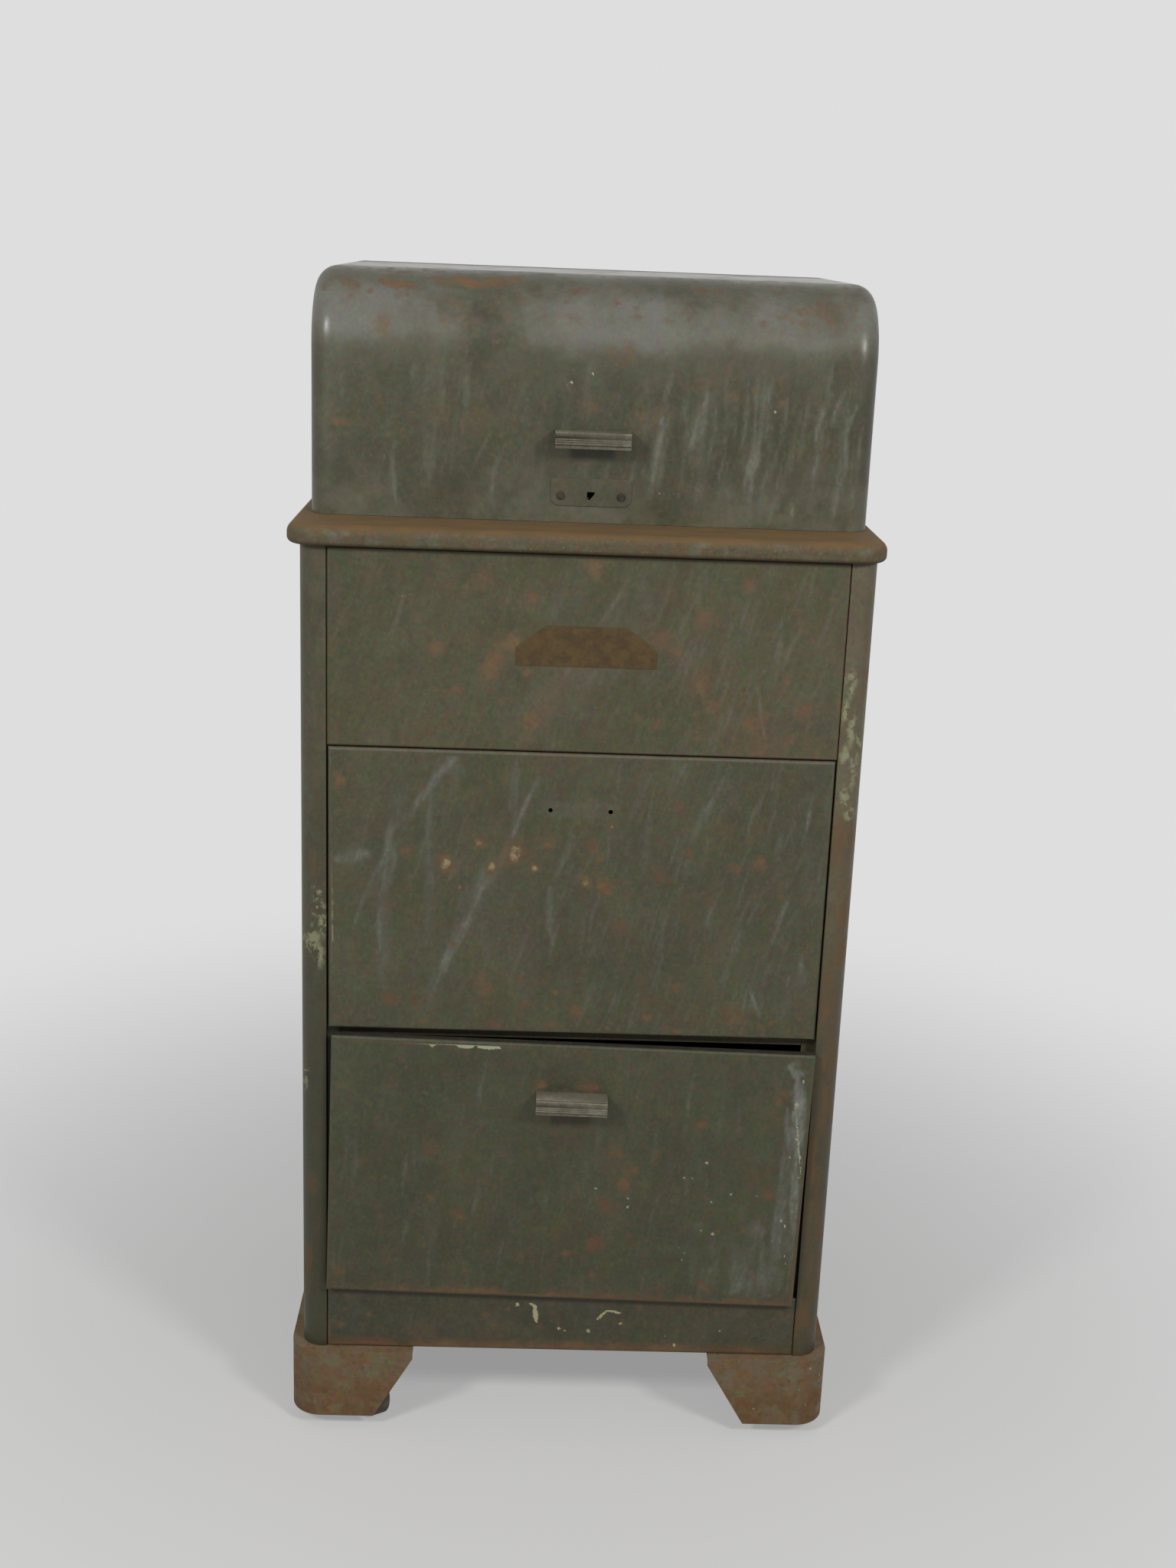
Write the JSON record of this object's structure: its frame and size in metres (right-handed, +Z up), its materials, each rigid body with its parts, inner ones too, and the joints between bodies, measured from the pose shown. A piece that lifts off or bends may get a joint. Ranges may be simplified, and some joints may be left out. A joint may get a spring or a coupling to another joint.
{
  "type": "filing cabinet",
  "caption": "Streamlined steel filing cabinet on skirted caster feet: a lift-up hood with a lock over a filing well, a fixed badge panel and deep drawers below, worn and rusted.",
  "frame": {"origin": "middle of the overall footprint, on the floor under the caster wheels", "axes": "+Z up, front with the drawers towards -Y, +X to the right seen from the front"},
  "size_m": [0.5563, 0.4504, 1.1649],
  "materials": {
    "body_enamel": "worn olive-grey enamel with rust",
    "drawer_enamel": "worn olive-grey enamel with rust",
    "hood_enamel": "worn grey enamel, paler on the sweep",
    "slab_enamel": "rusted enamel",
    "well_enamel": "enamel",
    "badge_bronze": "dull bronze, worn",
    "track_steel": "dull galvanised steel",
    "fitting_steel": "tarnished steel",
    "pull_metal": "worn plated casting",
    "foot_steel": "rusted pressed steel",
    "caster_steel": "rusted steel",
    "wheel_rubber": "hard rubber, dusty"
  },
  "bodies": {
    "carcass": {"left_side": "body_enamel", "right_side": "body_enamel", "back_panel": "body_enamel", "base_pan": "body_enamel", "kick_panel": "body_enamel", "badge_panel": "body_enamel", "badge_plate": "badge_bronze", "upper_rail": "body_enamel", "divider_rail": "body_enamel", "top_slab": "slab_enamel", "filing_well": "well_enamel", "strike_plate": "fitting_steel", "hinge_deck_leaves": "fitting_steel", "hinge_pins": "fitting_steel", "hinge_deck_screws": "fitting_steel", "middle_tracks": "track_steel", "lower_tracks": "track_steel", "foot_front_left": "foot_steel", "foot_front_right": "foot_steel", "foot_rear_left": "foot_steel", "foot_rear_right": "foot_steel", "caster_plates": "caster_steel", "kingpins": "caster_steel", "caster_bolts": "caster_steel"},
    "hood": {"hood_shell": "hood_enamel", "hood_back": "hood_enamel", "hood_pull": "pull_metal", "hood_pull_screws": "fitting_steel", "lock_plate": "hood_enamel", "lock_rivets": "fitting_steel", "lock_case": "fitting_steel", "hinge_hood_leaves": "fitting_steel", "hinge_hood_screws": "fitting_steel"},
    "lock_bolt": {"lock_bolt": "fitting_steel"},
    "middle_drawer": {"middle_drawer_front": "drawer_enamel", "middle_drawer_tray": "drawer_enamel", "middle_drawer_back": "drawer_enamel", "middle_drawer_runners": "track_steel"},
    "lower_drawer": {"lower_drawer_front": "drawer_enamel", "lower_drawer_tray": "drawer_enamel", "lower_drawer_back": "drawer_enamel", "lower_drawer_runners": "track_steel", "lower_pull": "pull_metal", "lower_pull_screws": "fitting_steel"},
    "fork_front_left": {"fork_front_left": "caster_steel", "axle_front_left": "caster_steel"},
    "wheel_front_left": {"wheel_front_left": "wheel_rubber"},
    "fork_front_right": {"fork_front_right": "caster_steel", "axle_front_right": "caster_steel"},
    "wheel_front_right": {"wheel_front_right": "wheel_rubber"},
    "fork_rear_left": {"fork_rear_left": "caster_steel", "axle_rear_left": "caster_steel"},
    "wheel_rear_left": {"wheel_rear_left": "wheel_rubber"},
    "fork_rear_right": {"fork_rear_right": "caster_steel", "axle_rear_right": "caster_steel"},
    "wheel_rear_right": {"wheel_rear_right": "wheel_rubber"}
  },
  "joints": [
    {"name": "hood_hinge", "type": "hinge", "parent": "carcass", "child": "hood", "pos_m": [0, 0.1968, 0.9444], "axis": [-1, 0, 0], "range_deg": [0, 95]},
    {"name": "bolt_throw", "type": "slide", "parent": "hood", "child": "lock_bolt", "axis": [0, 0, -1], "range_m": [0, 0.008]},
    {"name": "middle_drawer_slide", "type": "slide", "parent": "carcass", "child": "middle_drawer", "axis": [0, -1, 0], "range_m": [0, 0.28]},
    {"name": "lower_drawer_slide", "type": "slide", "parent": "carcass", "child": "lower_drawer", "axis": [0, -1, 0], "range_m": [0, 0.27]},
    {"name": "swivel_front_left", "type": "hinge", "parent": "carcass", "child": "fork_front_left", "pos_m": [-0.2057, -0.1532, 0.071], "axis": [0, 0, 1], "continuous": true},
    {"name": "roll_front_left", "type": "hinge", "parent": "fork_front_left", "child": "wheel_front_left", "pos_m": [-0.1957, -0.17052, 0.025], "axis": [0.866, 0.5, 0], "continuous": true},
    {"name": "swivel_front_right", "type": "hinge", "parent": "carcass", "child": "fork_front_right", "pos_m": [0.2057, -0.1532, 0.071], "axis": [0, 0, 1], "continuous": true},
    {"name": "roll_front_right", "type": "hinge", "parent": "fork_front_right", "child": "wheel_front_right", "pos_m": [0.19886, -0.13441, 0.025], "axis": [-0.9397, -0.342, 0], "continuous": true},
    {"name": "swivel_rear_left", "type": "hinge", "parent": "carcass", "child": "fork_rear_left", "pos_m": [-0.2057, 0.1752, 0.071], "axis": [0, 0, 1], "continuous": true},
    {"name": "roll_rear_left", "type": "hinge", "parent": "fork_rear_left", "child": "wheel_rear_left", "pos_m": [-0.18932, 0.18667, 0.025], "axis": [-0.5736, 0.8192, 0], "continuous": true},
    {"name": "swivel_rear_right", "type": "hinge", "parent": "carcass", "child": "fork_rear_right", "pos_m": [0.2057, 0.1752, 0.071], "axis": [0, 0, 1], "continuous": true},
    {"name": "roll_rear_right", "type": "hinge", "parent": "fork_rear_right", "child": "wheel_rear_right", "pos_m": [0.18838, 0.1852, 0.025], "axis": [-0.5, -0.866, 0], "continuous": true}
  ]
}
